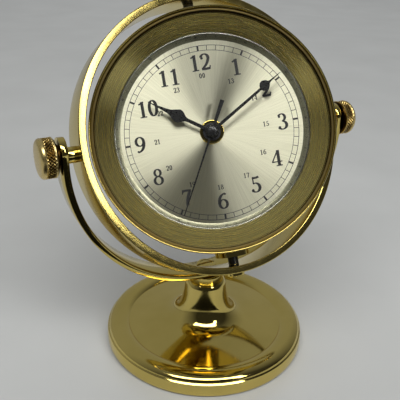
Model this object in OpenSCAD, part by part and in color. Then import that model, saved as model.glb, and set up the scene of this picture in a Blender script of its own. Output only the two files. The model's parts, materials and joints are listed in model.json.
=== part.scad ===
// Gimballed ship's deck clock: pedestal, yoke, gimbal ring and swivelling case with a quartz movement.
// Millimetres, +Z up, front toward -Y, origin at the centre of the base underside.

/* [Stand] */
// Height of the gimbal's pivot axis above the table
pivot_h = 116; // [115:0.5:120]
// Radius of the base at its lower band
base_r = 54; // [53:0.5:58]
// Radius of the stem where it meets the yoke
stem_r = 10.8; // [10:0.2:11]
// Inner radius of the yoke
yoke_ri = 72; // [71.5:0.1:73]
// Thickness of the yoke strap
yoke_t = 3; // [2.5:0.1:3.2]
// Width of the yoke strap
yoke_w = 14; // [12:0.5:16]

/* [Gimbal ring] */
// Outer radius of the ring
ring_ro = 67.2; // [66.8:0.1:67.6]
// Radial thickness of the ring
ring_t = 3.5; // [3:0.1:3.6]
// Width of the ring along its own axis
ring_w = 18; // [14:0.5:19]
// Backward tilt of the ring from upright, in degrees
ring_tilt = 26; // [-40:1:60]

/* [Case] */
// Radius of the bezel
bezel_r = 54.4; // [53.6:0.1:54.6]
// Distance from the pivot to the front of the bezel
bezel_front = 30; // [29:0.5:30]
// Swivel of the case in the ring, in degrees
case_swivel = 25.5; // [-60:0.5:60]
// Outer radius of the drum
drum_r = 50.6; // [50.4:0.1:50.8]
// Visible radius of the dial, out to the top of its turned-up rim
dial_r = 44; // [43.5:0.1:44.5]

/* [Hands] */
// Angle of the hour hand, clockwise from twelve
hour_angle = 305; // [0:1:360]
// Angle of the minute hand, clockwise from twelve
minute_angle = 59; // [0:1:360]
// Angle of the second hand, clockwise from twelve
second_angle = 208; // [0:1:360]

/* [Knobs] */
// Radius of a thumbscrew head
knob_r = 9; // [8:0.5:10]
// Length of a thumbscrew head
knob_len = 8.1; // [7.5:0.1:10]

/* [Hidden] */
$fn = 96;
slop = 0.01;
stud_r = 2;
running = 0.06;
bore_r = stud_r + running;

// Stand levels
felt_h = 1.6;
felt_r = 50.4;
band_bottom = 0.6;
cavity_top = 6;
stem_top = 35.2;
yoke_drop = 2;
yoke_cz = pivot_h - yoke_drop;
yoke_ro = yoke_ri + yoke_t;
yoke_end_z = pivot_h + 1.5;
saddle_r = 9;
bolt_r = 3;
bolt_head_r = 5.2;
bolt_head_h = 2.2;
bolt_seat_z = yoke_cz - sqrt(pow(yoke_ri, 2) - pow(bolt_head_r, 2));
bolt_end_z = 7;
nut_pocket_r = 8;
nut_pocket_top = 14;
stem_washer_h = 1;
stem_nut_h = 4.6;

// Ring and pivots
ring_ri = ring_ro - ring_t;
bush_r = 3.7;
bush_end = yoke_ri - 0.1;
stud_end = ring_ri + 0.4;
collar_gap = 0.05;
collar_in = yoke_ro + collar_gap;
collar_h = 1.2;
collar_r = 5.6;
knob_in = collar_in + collar_h + 0.05;

// Case stations along the case axis, measured forward from the pivot
drum_t = 2;
drum_back = -22;
drum_front = 18;
bezel_back = 14;
dial_back = 14;
dial_t = 0.8;
rim_r = 41.5;
rim_h = 4.6;
dial_front = dial_back + dial_t;
ledge_t = 1.2;
ledge_w = 2.4;
drum_ri = drum_r - drum_t;
crystal_seat = bezel_front - 4.4;
crystal_t = 2;
crystal_r = bezel_r - 1.2;
lip_r = bezel_r - 1.1;
shelf_r = bezel_r - 2.1;
cone_front = crystal_seat - 0.1;
cone_r = bezel_r - 3;
cone_t = 0.7;
boss_r = 8.5;
boss_end = 59.2;
spacer_r = 2.5;
spacer_end = 63.56;
swivel_head_r = 4.5;
swivel_head_h = 2.6;
swivel_seat = ring_ro + 0.06;
back_t = 3;
back_spigot = 3;

// Hand stations and hubs
hour_tube_r = 2.3;
minute_tube_r = 1.4;
second_pin_r = 0.9;
hour_z = 18.4;
minute_z = 19.8;
second_z = 21.2;
hand_t = 0.5;
cap_r = 3;
cap_top = 23.6;

// Quartz movement
box_half = 28;
box_back = -6;
box_wall = 1.2;
bay_y = -11.4;
bay_wall = 1;
bush_thread_r = 4;
bush_thread_top = 17.6;
nut_r = 5.5;
nut_h = 2.2;
battery_r = 7.1;
battery_len = 49;
battery_y = -19.6;
battery_z = 4.5;
cover_t = 1.4;
screw_x = 23;
screw_rows = [-9, 23];
screw_boss_r = 2.2;

// Wheels: tooth counts and modules of the two trains
cannon_n = 12;
motion_n = 36;
motion_pinion_n = 12;
hour_n = 48;
set_n = 18;
motion_m = 0.3;
motion_a = motion_m * (cannon_n + motion_n) / 2;
hour_m = 2 * motion_a / (motion_pinion_n + hour_n);
set_a = motion_m * (motion_n + set_n) / 2;
centre_n = 64;
third_pinion_n = 8;
third_n = 60;
second_pinion_n = 8;
centre_m = 0.2;
third_a = centre_m * (centre_n + third_pinion_n) / 2;
third_m = 2 * third_a / (third_n + second_pinion_n);
second_n = 60;
mid_pinion_n = 10;
mid_n = 50;
rotor_pinion_n = 10;
second_m = 0.21;
mid_a = second_m * (second_n + mid_pinion_n) / 2;
rotor_m = 0.2;
rotor_a = rotor_m * (mid_n + rotor_pinion_n) / 2;
motion_dir = 45;
set_dir = 0;
third_dir = 135;
mid_dir = 225;
rotor_dir = 180;
motion_xy = motion_a * [cos(motion_dir), sin(motion_dir)];
set_xy = motion_xy + set_a * [cos(set_dir), sin(set_dir)];
third_xy = third_a * [cos(third_dir), sin(third_dir)];
mid_xy = mid_a * [cos(mid_dir), sin(mid_dir)];
rotor_xy = mid_xy + rotor_a * [cos(rotor_dir), sin(rotor_dir)];
wheel_t = 0.8;
hour_wheel_z = 11.3;
motion_wheel_z = 9.6;
centre_wheel_z = 7.6;
third_wheel_z = 5.4;
second_wheel_z = 3.4;
mid_wheel_z = 1.4;
rotor_z = -2;
post_r = 0.3;
post_bore_r = 0.35;
second_arbor_r = 0.55;
set_shaft_r = 1.5;

// Points of a quadratic curve from a to c, pulled toward b
function curve(a, b, c, n) = [for (i = [0:n]) let (t = i / n)
    (1 - t) * (1 - t) * a + 2 * t * (1 - t) * b + t * t * c];

// Points of an elliptical arc
function arc(centre, rx, rz, from, to, n) = [for (i = [0:n]) let (w = from + (to - from) * i / n)
    centre + [rx * cos(w), rz * sin(w)]];

// Frame of the ring: its origin on the pivot, +Z toward twelve, -Y toward the front
module in_ring() {
    translate([0, 0, pivot_h]) rotate([-ring_tilt, 0, 0]) children();
}

// Frame of the case: +Z along the dial's normal, +Y toward twelve
module in_case() {
    in_ring() rotate([0, 0, -case_swivel]) rotate([90, 0, 0]) children();
}

// Turns a part drawn along +Z so that it lies along the +X or -X pivot
module along_x(side) {
    translate([0, 0, pivot_h]) rotate([0, side * 90, 0]) children();
}

module tube(ro, ri, h) {
    difference() {
        cylinder(r = ro, h = h);
        translate([0, 0, -slop]) cylinder(r = ri, h = h + 2 * slop);
    }
}

// Flat spur gear; phase turns it so that a tooth lies on that angle, and a bore of 0 leaves it solid
module gear(teeth, m, h, bore, phase) {
    pitch_r = teeth * m / 2;
    root_r = pitch_r - 1.1 * m;
    tip_r = pitch_r + 0.7 * m;
    step = 360 / teeth;
    outline = [for (i = [0:teeth - 1], c = [[-0.25, 0], [-0.1, 1], [0.1, 1], [0.25, 0]])
        let (w = phase + step * (i + c[0]), r = c[1] == 1 ? tip_r : root_r) [r * cos(w), r * sin(w)]];
    difference() {
        linear_extrude(height = h) polygon(outline);
        if (bore > 0) translate([0, 0, -slop]) cylinder(r = bore, h = h + 2 * slop, $fn = 48);
    }
}

// Phase of a gear of n teeth whose gap faces angle w
function gap_at(n, w) = w + 180 / n;

// ---- Stand ----

function base_outline() = concat(
    [[0, band_bottom], [base_r - 0.9, band_bottom], [base_r - 0.1, 1.4], [base_r, 3.2], [base_r - 0.4, 7.4],
     [base_r - 0.9, 7.9], [base_r - 1.2, 8.1]],
    arc([base_r - 6.9, 8], 5.7, 3.3, 6, 156, 16),
    curve([23, 12], [17, 13.2], [14.6, 17.6], 8), curve([14.6, 17.6], [12, 22.4], [stem_r, 33], 8),
    [[stem_r - 0.5, 34.4], [stem_r - 1.3, stem_top], [0, stem_top]]
);

module base() {
    color("goldenrod") difference() {
        rotate_extrude() polygon(base_outline());
        translate([0, 0, -slop]) cylinder(r = felt_r + 0.1, h = cavity_top + slop);
        cylinder(r = nut_pocket_r, h = nut_pocket_top);
        cylinder(r = bolt_r, h = stem_top + 1);
    }
}

module base_weight() {
    color("dimgray") translate([0, 0, felt_h]) tube(felt_r + 0.1, nut_pocket_r + 1.5, cavity_top - felt_h);
}

module felt_pad() {
    color("darkgreen") cylinder(r = felt_r, h = felt_h);
}

module yoke_saddle() {
    color("goldenrod") difference() {
        translate([0, 0, stem_top]) cylinder(r = saddle_r, h = 6);
        translate([0, 50, yoke_cz]) rotate([90, 0, 0]) cylinder(r = yoke_ro, h = 100, $fn = 180);
        cylinder(r = bolt_r, h = pivot_h);
    }
}

// Straight, round-ended top of a yoke arm, seen from the side
module yoke_arm_end() {
    intersection() {
        union() {
            translate([-yoke_w / 2, yoke_cz]) square([yoke_w, yoke_end_z - yoke_cz]);
            translate([0, yoke_end_z]) circle(r = yoke_w / 2);
        }
        translate([-yoke_w, yoke_cz]) square([2 * yoke_w, 2 * yoke_w]);
    }
}

module yoke() {
    color("goldenrod") difference() {
        union() {
            intersection() {
                translate([0, yoke_w / 2, yoke_cz]) rotate([90, 0, 0])
                    tube(yoke_ro, yoke_ri, yoke_w, $fn = 180);
                translate([-yoke_ro - 1, -yoke_w, yoke_cz - yoke_ro - 1])
                    cube([2 * yoke_ro + 2, 2 * yoke_w, yoke_ro + 1]);
            }
            for (side = [-1, 1]) {
                translate([side > 0 ? yoke_ri : -yoke_ro, 0, 0])
                    rotate([90, 0, 90]) linear_extrude(height = yoke_t) yoke_arm_end();
            }
        }
        for (side = [-1, 1]) along_x(side)
            translate([0, 0, yoke_ri - 1]) cylinder(r = bore_r, h = yoke_t + 2);
        translate([0, 0, stem_top]) cylinder(r = bolt_r, h = 12);
    }
}

module yoke_bolt() {
    slot_w = 1.4;
    slot_d = 1;
    color("gold") difference() {
        union() {
            translate([0, 0, bolt_end_z]) cylinder(r = bolt_r, h = bolt_seat_z - bolt_end_z + slop);
            translate([0, 0, bolt_seat_z]) cylinder(r = bolt_head_r, h = bolt_head_h - 0.6);
            translate([0, 0, bolt_seat_z + bolt_head_h - 0.6])
                cylinder(r1 = bolt_head_r, r2 = bolt_head_r - 1.4, h = 0.6);
        }
        translate([-bolt_head_r, -slot_w / 2, bolt_seat_z + bolt_head_h - slot_d])
            cube([2 * bolt_head_r, slot_w, slot_d + 1]);
    }
}

module bolt_washer() {
    color("silver") translate([0, 0, nut_pocket_top - stem_washer_h]) tube(7, bolt_r, stem_washer_h);
}

module bolt_nut() {
    nut_top = nut_pocket_top - stem_washer_h;
    color("silver") difference() {
        translate([0, 0, nut_top - stem_nut_h]) cylinder(r = 5.8, h = stem_nut_h, $fn = 6);
        translate([0, 0, nut_top - stem_nut_h - 1]) cylinder(r = bolt_r, h = stem_nut_h + 2);
    }
}

// ---- Thumbscrews ----

module knob(side) {
    edge = knob_r - 0.5;
    color("gold") along_x(side) {
        translate([0, 0, stud_end]) cylinder(r = stud_r, h = knob_in - stud_end + slop);
        translate([0, 0, knob_in]) rotate_extrude() polygon(concat(
            [[0, 0], [edge - 0.4, 0], [knob_r, 0.9]],
            curve([knob_r, knob_len - 2.4], [knob_r - 0.4, knob_len - 0.5], [0, knob_len], 10)));
    }
}

module collar(side) {
    color("gold") along_x(side) translate([0, 0, collar_in]) tube(collar_r, bore_r, collar_h);
}

// ---- Gimbal ring ----

module gimbal_ring() {
    edge = 0.4;
    half = ring_w / 2;
    color("goldenrod") in_ring() difference() {
        rotate([90, 0, 0]) rotate_extrude($fn = 180) polygon([
            [ring_ri, -half + edge], [ring_ri + edge, -half],
            [ring_ro - edge, -half], [ring_ro, -half + edge],
            [ring_ro, half - edge], [ring_ro - edge, half],
            [ring_ri + edge, half], [ring_ri, half - edge]]);
        rotate([0, 90, 0]) cylinder(r = bore_r, h = 2 * ring_ro + 2, center = true);
        cylinder(r = bore_r, h = 2 * ring_ro + 2, center = true);
    }
}

module bush(side) {
    color("gold") in_ring() difference() {
        rotate([0, side * 90, 0]) translate([0, 0, ring_ri]) tube(bush_r, bore_r, bush_end - ring_ri);
        rotate([90, 0, 0]) cylinder(r = ring_ro, h = ring_w, center = true, $fn = 180);
    }
}

// ---- Case ----

module case_body() {
    color("goldenrod") in_case() difference() {
        union() {
            translate([0, 0, drum_back]) cylinder(r = drum_r, h = drum_front - drum_back);
            for (side = [-1, 1]) rotate([-side * 90, 0, 0])
                translate([0, 0, drum_r - 4]) cylinder(r = boss_r, h = boss_end - drum_r + 4);
        }
        translate([0, 0, drum_back - 1]) cylinder(r = drum_ri, h = dial_back - ledge_t - drum_back + 1);
        translate([0, 0, dial_back - ledge_t - 1]) cylinder(r = drum_ri - ledge_w, h = ledge_t + 2);
        translate([0, 0, dial_back]) cylinder(r = drum_ri, h = drum_front);
        rotate([90, 0, 0]) cylinder(r = stud_r, h = 2 * boss_end + 2, center = true);
    }
}

module swivel_screw(side) {
    slot_w = 1.2;
    slot_d = 1.2;
    color("gold") in_case() rotate([-side * 90, 0, 0]) difference() {
        union() {
            translate([0, 0, drum_r - 1]) cylinder(r = stud_r, h = swivel_seat - drum_r + 1 + slop);
            translate([0, 0, swivel_seat]) cylinder(r = swivel_head_r, h = swivel_head_h - 0.6);
            translate([0, 0, swivel_seat + swivel_head_h - 0.6])
                cylinder(r1 = swivel_head_r, r2 = swivel_head_r - 1, h = 0.6);
        }
        translate([-10, -slot_w / 2, swivel_seat + swivel_head_h - slot_d]) cube([20, slot_w, slot_d + 1]);
    }
}

module swivel_spacer(side) {
    color("black") in_case() rotate([-side * 90, 0, 0])
        translate([0, 0, boss_end]) tube(spacer_r, stud_r, spacer_end - boss_end);
}

module bezel() {
    color("gold") in_case() rotate_extrude($fn = 180) polygon(concat(
        [[drum_r, bezel_back], [bezel_r - 1.6, bezel_back]],
        curve([bezel_r - 1.6, bezel_back], [bezel_r, bezel_back + 0.6], [bezel_r, bezel_back + 4], 6),
        arc([bezel_r - 0.55, bezel_front - 0.6], 0.55, 0.6, 0, 180, 8),
        [[lip_r, crystal_seat], [shelf_r, crystal_seat], [shelf_r, drum_front], [drum_r, drum_front]]));
}

module crystal() {
    color([0.8, 0.9, 0.9, 0.3]) in_case() translate([0, 0, crystal_seat])
        cylinder(r = crystal_r, h = crystal_t);
}

module crystal_ring() {
    color("olive") in_case() translate([0, 0, crystal_seat + crystal_t]) tube(lip_r, lip_r - 1.1, 1);
}

module reflector() {
    flange_r = drum_ri - 0.1;
    rim_front = dial_front + rim_h;
    color("khaki") in_case() rotate_extrude($fn = 180) polygon([
        [dial_r + 1.2, dial_front], [flange_r, dial_front], [flange_r, dial_front + 0.6],
        [dial_r + 2, dial_front + 0.6], [dial_r + cone_t + 0.7, rim_front],
        [cone_r + cone_t, cone_front - 0.4], [cone_r + cone_t, cone_front], [cone_r, cone_front],
        [dial_r + 0.2, rim_front + 0.5], [dial_r + 0.6, rim_front - 0.2]]);
}

module dial() {
    color("lightgray") in_case() union() {
        translate([0, 0, dial_back]) tube(drum_ri, bush_thread_r, dial_t);
        translate([0, 0, dial_front]) rotate_extrude($fn = 180) polygon([
            [rim_r, -slop], [rim_r + 0.9, -slop], [dial_r, rim_h], [dial_r - 0.5, rim_h]]);
    }
}

module dial_nut() {
    color("gold") in_case() translate([0, 0, dial_front]) difference() {
        union() {
            cylinder(r = nut_r, h = nut_h - 0.5);
            translate([0, 0, nut_h - 0.5]) cylinder(r1 = nut_r, r2 = nut_r - 0.7, h = 0.5);
        }
        translate([0, 0, -1]) cylinder(r = bush_thread_r, h = nut_h + 2);
    }
}

module back_cover() {
    inner_r = drum_ri - running;
    color("goldenrod") in_case() rotate_extrude() polygon([
        [0, drum_back - back_t], [drum_r - 2.5, drum_back - back_t], [drum_r - 0.6, drum_back - back_t + 1],
        [drum_r, drum_back - 1.4], [drum_r, drum_back], [inner_r, drum_back],
        [inner_r, drum_back + back_spigot],
        [inner_r - 2, drum_back + back_spigot], [inner_r - 2, drum_back - 0.6], [0, drum_back - 0.6]]);
}

// ---- Hands, drawn toward twelve and turned to their angle ----

module hand(angle, z, hub_r, bore) {
    color("black") in_case() translate([0, 0, z]) rotate([0, 0, -angle]) difference() {
        linear_extrude(height = hand_t) {
            circle(r = hub_r);
            children();
        }
        translate([0, 0, -slop]) cylinder(r = bore, h = hand_t + 2 * slop);
    }
}

module hour_hand() {
    blade = [[0.8, 0], [0.8, 12.6], [1.9, 14.4], [3.1, 17], [2.2, 18.8], [1.1, 21.4], [0.6, 25],
        [0.15, 31.8]];
    hand(hour_angle, hour_z, 3.6, hour_tube_r) mirrored_blade(blade);
}

module minute_hand() {
    blade = [[0.75, 0], [0.75, 28.4], [0.6, 29], [1.2, 32.8], [0.5, 34.2], [0.12, 40.5]];
    hand(minute_angle, minute_z, 3, minute_tube_r) {
        mirrored_blade(blade);
        translate([0, 31]) circle(r = 2.2);
    }
}

module second_hand() {
    needle = [[0.4, 0], [0.3, 10], [0.16, 39.8]];
    tail = [[0.5, 0], [0.85, 14.7]];
    hand(second_angle, second_z, 1.8, second_pin_r) {
        mirrored_blade(needle);
        rotate(180) mirrored_blade(tail);
    }
    color("black") in_case() translate([0, 0, second_z + hand_t])
        rotate_extrude() polygon(concat([[0, 0], [cap_r, 0]],
            curve([cap_r, 1], [cap_r, cap_top - second_z - hand_t], [0, cap_top - second_z - hand_t], 6)));
}

// Closed outline from the right-hand half of a blade
module mirrored_blade(half) {
    last = len(half) - 1;
    polygon(concat(half, [for (i = [last:-1:0]) [-half[i][0], half[i][1]]]));
}

// ---- Quartz movement ----

module post(xy, z) {
    translate([xy[0], xy[1], z]) cylinder(r = post_r, h = dial_back - z, $fn = 48);
}

module movement_housing() {
    inner = box_half - box_wall;
    room = dial_back - box_back - box_wall + 1;
    color([0.12, 0.12, 0.13]) in_case() {
        difference() {
            union() {
                translate([-box_half, -box_half, box_back])
                    cube([2 * box_half, 2 * box_half, dial_back - box_back]);
                cylinder(r = bush_thread_r, h = bush_thread_top);
            }
            translate([-inner, bay_y, box_back - 1]) cube([2 * inner, inner - bay_y, room]);
            translate([-inner, -inner, box_back - 1]) cube([2 * inner, inner + bay_y - bay_wall, room]);
            translate([0, 0, box_back]) cylinder(r = hour_tube_r + running, h = 40);
        }
        post(motion_xy, motion_wheel_z - 1);
        post(third_xy, third_wheel_z - 1);
        post(mid_xy, mid_wheel_z - 1);
        post(rotor_xy, rotor_z - 0.5);
        for (x = [-screw_x, screw_x], y = screw_rows)
            translate([x, y, box_back + cover_t]) tube(screw_boss_r, 1, dial_back - box_back - cover_t - 0.5);
    }
}

module movement_cover() {
    inner = box_half - box_wall;
    color([0.16, 0.16, 0.17]) in_case() difference() {
        translate([-inner, bay_y, box_back]) cube([2 * inner, inner - bay_y, cover_t]);
        translate([set_xy[0], set_xy[1], box_back - 1])
            cylinder(r = set_shaft_r + running, h = cover_t + 2);
        for (x = [-screw_x, screw_x], y = screw_rows)
            translate([x, y, box_back - 1]) cylinder(r = 1, h = cover_t + 2);
    }
}

module cover_screws() {
    color("silver") in_case() for (x = [-screw_x, screw_x], y = screw_rows) translate([x, y, 0]) {
        translate([0, 0, box_back - slop]) cylinder(r = 0.98, h = 6);
        translate([0, 0, box_back - 1]) cylinder(r = 2, h = 1);
    }
}

module circuit_board() {
    color("darkgreen") in_case() {
        translate([4, 13, 6]) cube([16, 11, 1]);
        translate([7, 15, 7 - slop]) cube([5, 5, 1.2]);
        translate([14, 18, 7 - slop]) cube([5, 2.4, 2]);
    }
}

module coil() {
    color("peru") in_case() translate([-20, 11, -0.3]) rotate([90, 0, 0]) tube(3.2, 1.2, 13);
}

module stator() {
    color("silver") in_case() difference() {
        union() {
            translate([-21, -7.5, -0.7]) cube([2, 20, 0.8]);
            translate([-21, -7.5, -0.7]) cube([10, 4.6, 0.8]);
            translate([rotor_xy[0], rotor_xy[1], -0.7]) cylinder(r = 3.8, h = 0.8);
        }
        translate([rotor_xy[0], rotor_xy[1], -2]) cylinder(r = 2.9, h = 4);
    }
}

module battery() {
    color("darkslategray") in_case() translate([0, battery_y, battery_z]) rotate([0, 90, 0]) {
        translate([0, 0, -battery_len / 2]) cylinder(r = battery_r, h = battery_len);
        translate([0, 0, battery_len / 2 - slop]) cylinder(r = 2.7, h = 1.2);
    }
}

module battery_contacts() {
    color("silver") in_case() {
        translate([battery_len / 2 + 1.19, battery_y - 4, battery_z - 4]) cube([0.5, 8, 8]);
        translate([-battery_len / 2 - 0.5, battery_y - 4, battery_z - 4]) cube([0.5, 8, 8]);
    }
}

module rotor() {
    color("slategray") in_case() translate([rotor_xy[0], rotor_xy[1], 0]) {
        gear(rotor_pinion_n, rotor_m, mid_wheel_z + wheel_t, post_bore_r,
            gap_at(rotor_pinion_n, rotor_dir + 180));
        translate([0, 0, rotor_z]) tube(2.5, post_bore_r, 2.6);
    }
}

module intermediate_wheel() {
    color("whitesmoke") in_case() translate([mid_xy[0], mid_xy[1], 0]) {
        translate([0, 0, mid_wheel_z]) gear(mid_n, rotor_m, wheel_t, post_bore_r, rotor_dir);
        translate([0, 0, mid_wheel_z + wheel_t - slop])
            gear(mid_pinion_n, second_m, second_wheel_z - mid_wheel_z, post_bore_r, mid_dir + 180);
    }
}

module second_wheel() {
    color("whitesmoke") in_case() {
        translate([0, 0, second_wheel_z]) gear(second_n, second_m, wheel_t, 0, gap_at(second_n, mid_dir));
        translate([0, 0, second_wheel_z + wheel_t - slop])
            gear(second_pinion_n, third_m, third_wheel_z - second_wheel_z, 0,
                gap_at(second_pinion_n, third_dir));
        translate([0, 0, second_wheel_z - 1])
            cylinder(r = second_arbor_r, h = second_z - second_wheel_z + 1 + slop);
        translate([0, 0, second_z]) cylinder(r = second_pin_r, h = hand_t);
    }
}

module third_wheel() {
    color("whitesmoke") in_case() translate([third_xy[0], third_xy[1], 0]) {
        translate([0, 0, third_wheel_z]) gear(third_n, third_m, wheel_t, post_bore_r, third_dir + 180);
        translate([0, 0, third_wheel_z + wheel_t - slop])
            gear(third_pinion_n, centre_m, centre_wheel_z - third_wheel_z, post_bore_r, third_dir + 180);
    }
}

module centre_wheel() {
    color("whitesmoke") in_case() translate([0, 0, centre_wheel_z])
        gear(centre_n, centre_m, wheel_t, minute_tube_r + 0.05, gap_at(centre_n, third_dir));
}

module cannon_pinion() {
    color("whitesmoke") in_case() {
        translate([0, 0, motion_wheel_z - 0.2])
            gear(cannon_n, motion_m, wheel_t + 0.4, second_pin_r, gap_at(cannon_n, motion_dir));
        translate([0, 0, centre_wheel_z - 0.6])
            tube(minute_tube_r, second_pin_r, minute_z + hand_t - centre_wheel_z + 0.6);
    }
}

module motion_wheel() {
    color("whitesmoke") in_case() translate([motion_xy[0], motion_xy[1], 0]) {
        translate([0, 0, motion_wheel_z]) gear(motion_n, motion_m, wheel_t, post_bore_r, motion_dir + 180);
        translate([0, 0, motion_wheel_z + wheel_t - slop])
            gear(motion_pinion_n, hour_m, hour_wheel_z - motion_wheel_z, post_bore_r, motion_dir + 180);
    }
}

module hour_wheel() {
    color("whitesmoke") in_case() {
        translate([0, 0, hour_wheel_z])
            gear(hour_n, hour_m, wheel_t, minute_tube_r + 0.05, gap_at(hour_n, motion_dir));
        translate([0, 0, hour_wheel_z])
            tube(hour_tube_r, minute_tube_r + 0.05, hour_z + hand_t - hour_wheel_z);
    }
}

module set_knob() {
    head_back = -11.5;
    head_h = 4;
    color("black") in_case() translate([set_xy[0], set_xy[1], 0]) {
        translate([0, 0, motion_wheel_z - 0.2])
            gear(set_n, motion_m, wheel_t + 0.4, 0, set_dir + 180);
        translate([0, 0, head_back]) cylinder(r = set_shaft_r, h = motion_wheel_z - head_back);
        translate([0, 0, head_back]) cylinder(r = 6, h = head_h);
    }
}

base();
base_weight();
felt_pad();
yoke_saddle();
yoke();
yoke_bolt();
bolt_washer();
bolt_nut();
knob(-1);  // left_knob
knob(1);  // right_knob
collar(-1);  // left_collar
collar(1);  // right_collar
gimbal_ring();
bush(-1);  // left_bush
bush(1);  // right_bush
case_body();
swivel_screw(1);  // upper_swivel_screw
swivel_screw(-1);  // lower_swivel_screw
swivel_spacer(1);  // upper_spacer
swivel_spacer(-1);  // lower_spacer
bezel();
crystal();
crystal_ring();
reflector();
dial();
dial_nut();
back_cover();
hour_hand();
minute_hand();
second_hand();
movement_housing();
movement_cover();
cover_screws();
circuit_board();
coil();
stator();
battery();
battery_contacts();
rotor();
intermediate_wheel();
second_wheel();
third_wheel();
centre_wheel();
cannon_pinion();
motion_wheel();
hour_wheel();
set_knob();
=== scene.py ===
# Gimballed ship's deck clock. Lengths in the piece builders are millimetres in a local frame
# (stand, ring or case); build() turns them into metres in the shared frame.
import json
import math

import bmesh
import bpy
from mathutils import Matrix, Vector


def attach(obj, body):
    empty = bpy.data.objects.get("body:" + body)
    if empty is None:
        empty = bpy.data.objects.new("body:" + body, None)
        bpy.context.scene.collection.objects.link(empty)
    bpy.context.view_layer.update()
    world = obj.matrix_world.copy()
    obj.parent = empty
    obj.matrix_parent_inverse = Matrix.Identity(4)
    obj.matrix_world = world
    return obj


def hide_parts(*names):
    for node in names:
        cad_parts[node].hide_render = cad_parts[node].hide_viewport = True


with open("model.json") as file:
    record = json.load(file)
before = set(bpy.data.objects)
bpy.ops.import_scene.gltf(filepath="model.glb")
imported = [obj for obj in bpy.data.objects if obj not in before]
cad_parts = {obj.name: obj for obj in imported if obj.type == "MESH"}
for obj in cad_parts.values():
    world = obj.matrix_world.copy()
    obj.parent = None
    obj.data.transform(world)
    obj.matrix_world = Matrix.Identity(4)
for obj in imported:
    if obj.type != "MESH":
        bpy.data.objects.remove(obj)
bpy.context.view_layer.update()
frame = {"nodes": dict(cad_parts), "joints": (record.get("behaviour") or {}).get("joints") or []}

MM = 0.001
JOINTS = {joint["name"]: joint for joint in frame["joints"]}


# ---------------------------------------------------------------- frames

def basis(right, up, forward, origin):
    """Local frame with +X right, +Y up and +Z forward."""
    rows = [[right[i], up[i], forward[i], origin[i]] for i in range(3)]
    return Matrix(rows + [[0, 0, 0, 1]])


PIVOT = Vector(JOINTS["ring_tilt"]["pos_m"])
TWELVE = Vector(JOINTS["case_swivel"]["axis"])
NORMAL = -Vector(JOINTS["minute_turn"]["axis"])
ACROSS = TWELVE.cross(NORMAL)
X = Vector((1, 0, 0))
STAND = Matrix.Identity(4)
RING = basis(X, TWELVE, X.cross(TWELVE), PIVOT)
CASE = basis(ACROSS, TWELVE, NORMAL, PIVOT)
LEFT = basis(Vector((0, -1, 0)), Vector((0, 0, 1)), -X, PIVOT)
RIGHT = basis(Vector((0, 1, 0)), Vector((0, 0, 1)), X, PIVOT)
TOP = CASE @ Matrix.Rotation(-math.pi / 2, 4, "X")
BOTTOM = CASE @ Matrix.Rotation(math.pi / 2, 4, "X")


def span(node, local):
    """Lowest and highest corner of a CAD node in a local frame, in millimetres."""
    inverse = local.inverted()
    points = [inverse @ v.co / MM for v in frame["nodes"][node].data.vertices]
    low = Vector([min(p[i] for p in points) for i in range(3)])
    high = Vector([max(p[i] for p in points) for i in range(3)])
    return low, high


# ---------------------------------------------------------------- outlines

def curve(a, b, c, steps):
    """Quadratic curve from a to c, pulled toward b."""
    points = []
    for i in range(steps + 1):
        t = i / steps
        w = ((1 - t) ** 2, 2 * t * (1 - t), t * t)
        points.append(tuple(w[0] * a[k] + w[1] * b[k] + w[2] * c[k] for k in range(2)))
    return points


def arc(centre, rx, ry, start, end, steps):
    """Elliptical arc, angles in degrees."""
    angles = [math.radians(start + (end - start) * i / steps) for i in range(steps + 1)]
    return [(centre[0] + rx * math.cos(w), centre[1] + ry * math.sin(w)) for w in angles]


def rounded(outline, radius, steps=4):
    """Closed outline with every corner rounded to at most the given radius."""
    count = len(outline)
    result = []
    for i, corner in enumerate(outline):
        here = Vector(corner)
        before = Vector(outline[i - 1]) - here
        after = Vector(outline[(i + 1) % count]) - here
        reach = min(radius, before.length * 0.49, after.length * 0.49)
        start = here + before.normalized() * reach
        end = here + after.normalized() * reach
        result += curve(tuple(start), tuple(here), tuple(end), steps)
    return result


# ---------------------------------------------------------------- mesh building

def lathe(outline, segments=160, closed=True):
    """Vertices and faces of an outline of (radius, height) turned about +Z."""
    verts = []
    rings = []
    for radius, height in outline:
        if radius < 1e-6:
            rings.append([len(verts)])
            verts.append((0, 0, height))
            continue
        rings.append(list(range(len(verts), len(verts) + segments)))
        for k in range(segments):
            w = 2 * math.pi * k / segments
            verts.append((radius * math.cos(w), radius * math.sin(w), height))
    faces = []
    last = len(rings) if closed else len(rings) - 1
    for i in range(last):
        a, b = rings[i], rings[(i + 1) % len(rings)]
        if len(a) == 1 and len(b) == 1:
            continue
        for k in range(segments):
            n = (k + 1) % segments
            if len(a) == 1:
                faces.append((a[0], b[n], b[k]))
            elif len(b) == 1:
                faces.append((a[k], a[n], b[0]))
            else:
                faces.append((a[k], a[n], b[n], b[k]))
    return verts, faces


def plate(outline, low, high):
    """Vertices and faces of a flat closed outline raised from low to high."""
    count = len(outline)
    verts = [(x, y, low) for x, y in outline] + [(x, y, high) for x, y in outline]
    faces = [tuple(range(count - 1, -1, -1)), tuple(range(count, 2 * count))]
    for i in range(count):
        n = (i + 1) % count
        faces.append((i, n, count + n, count + i))
    return verts, faces


def join(*parts):
    """Several (vertices, faces) pairs as one."""
    verts = []
    faces = []
    for part_verts, part_faces in parts:
        base = len(verts)
        verts += part_verts
        faces += [tuple(base + i for i in face) for face in part_faces]
    return verts, faces


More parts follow.
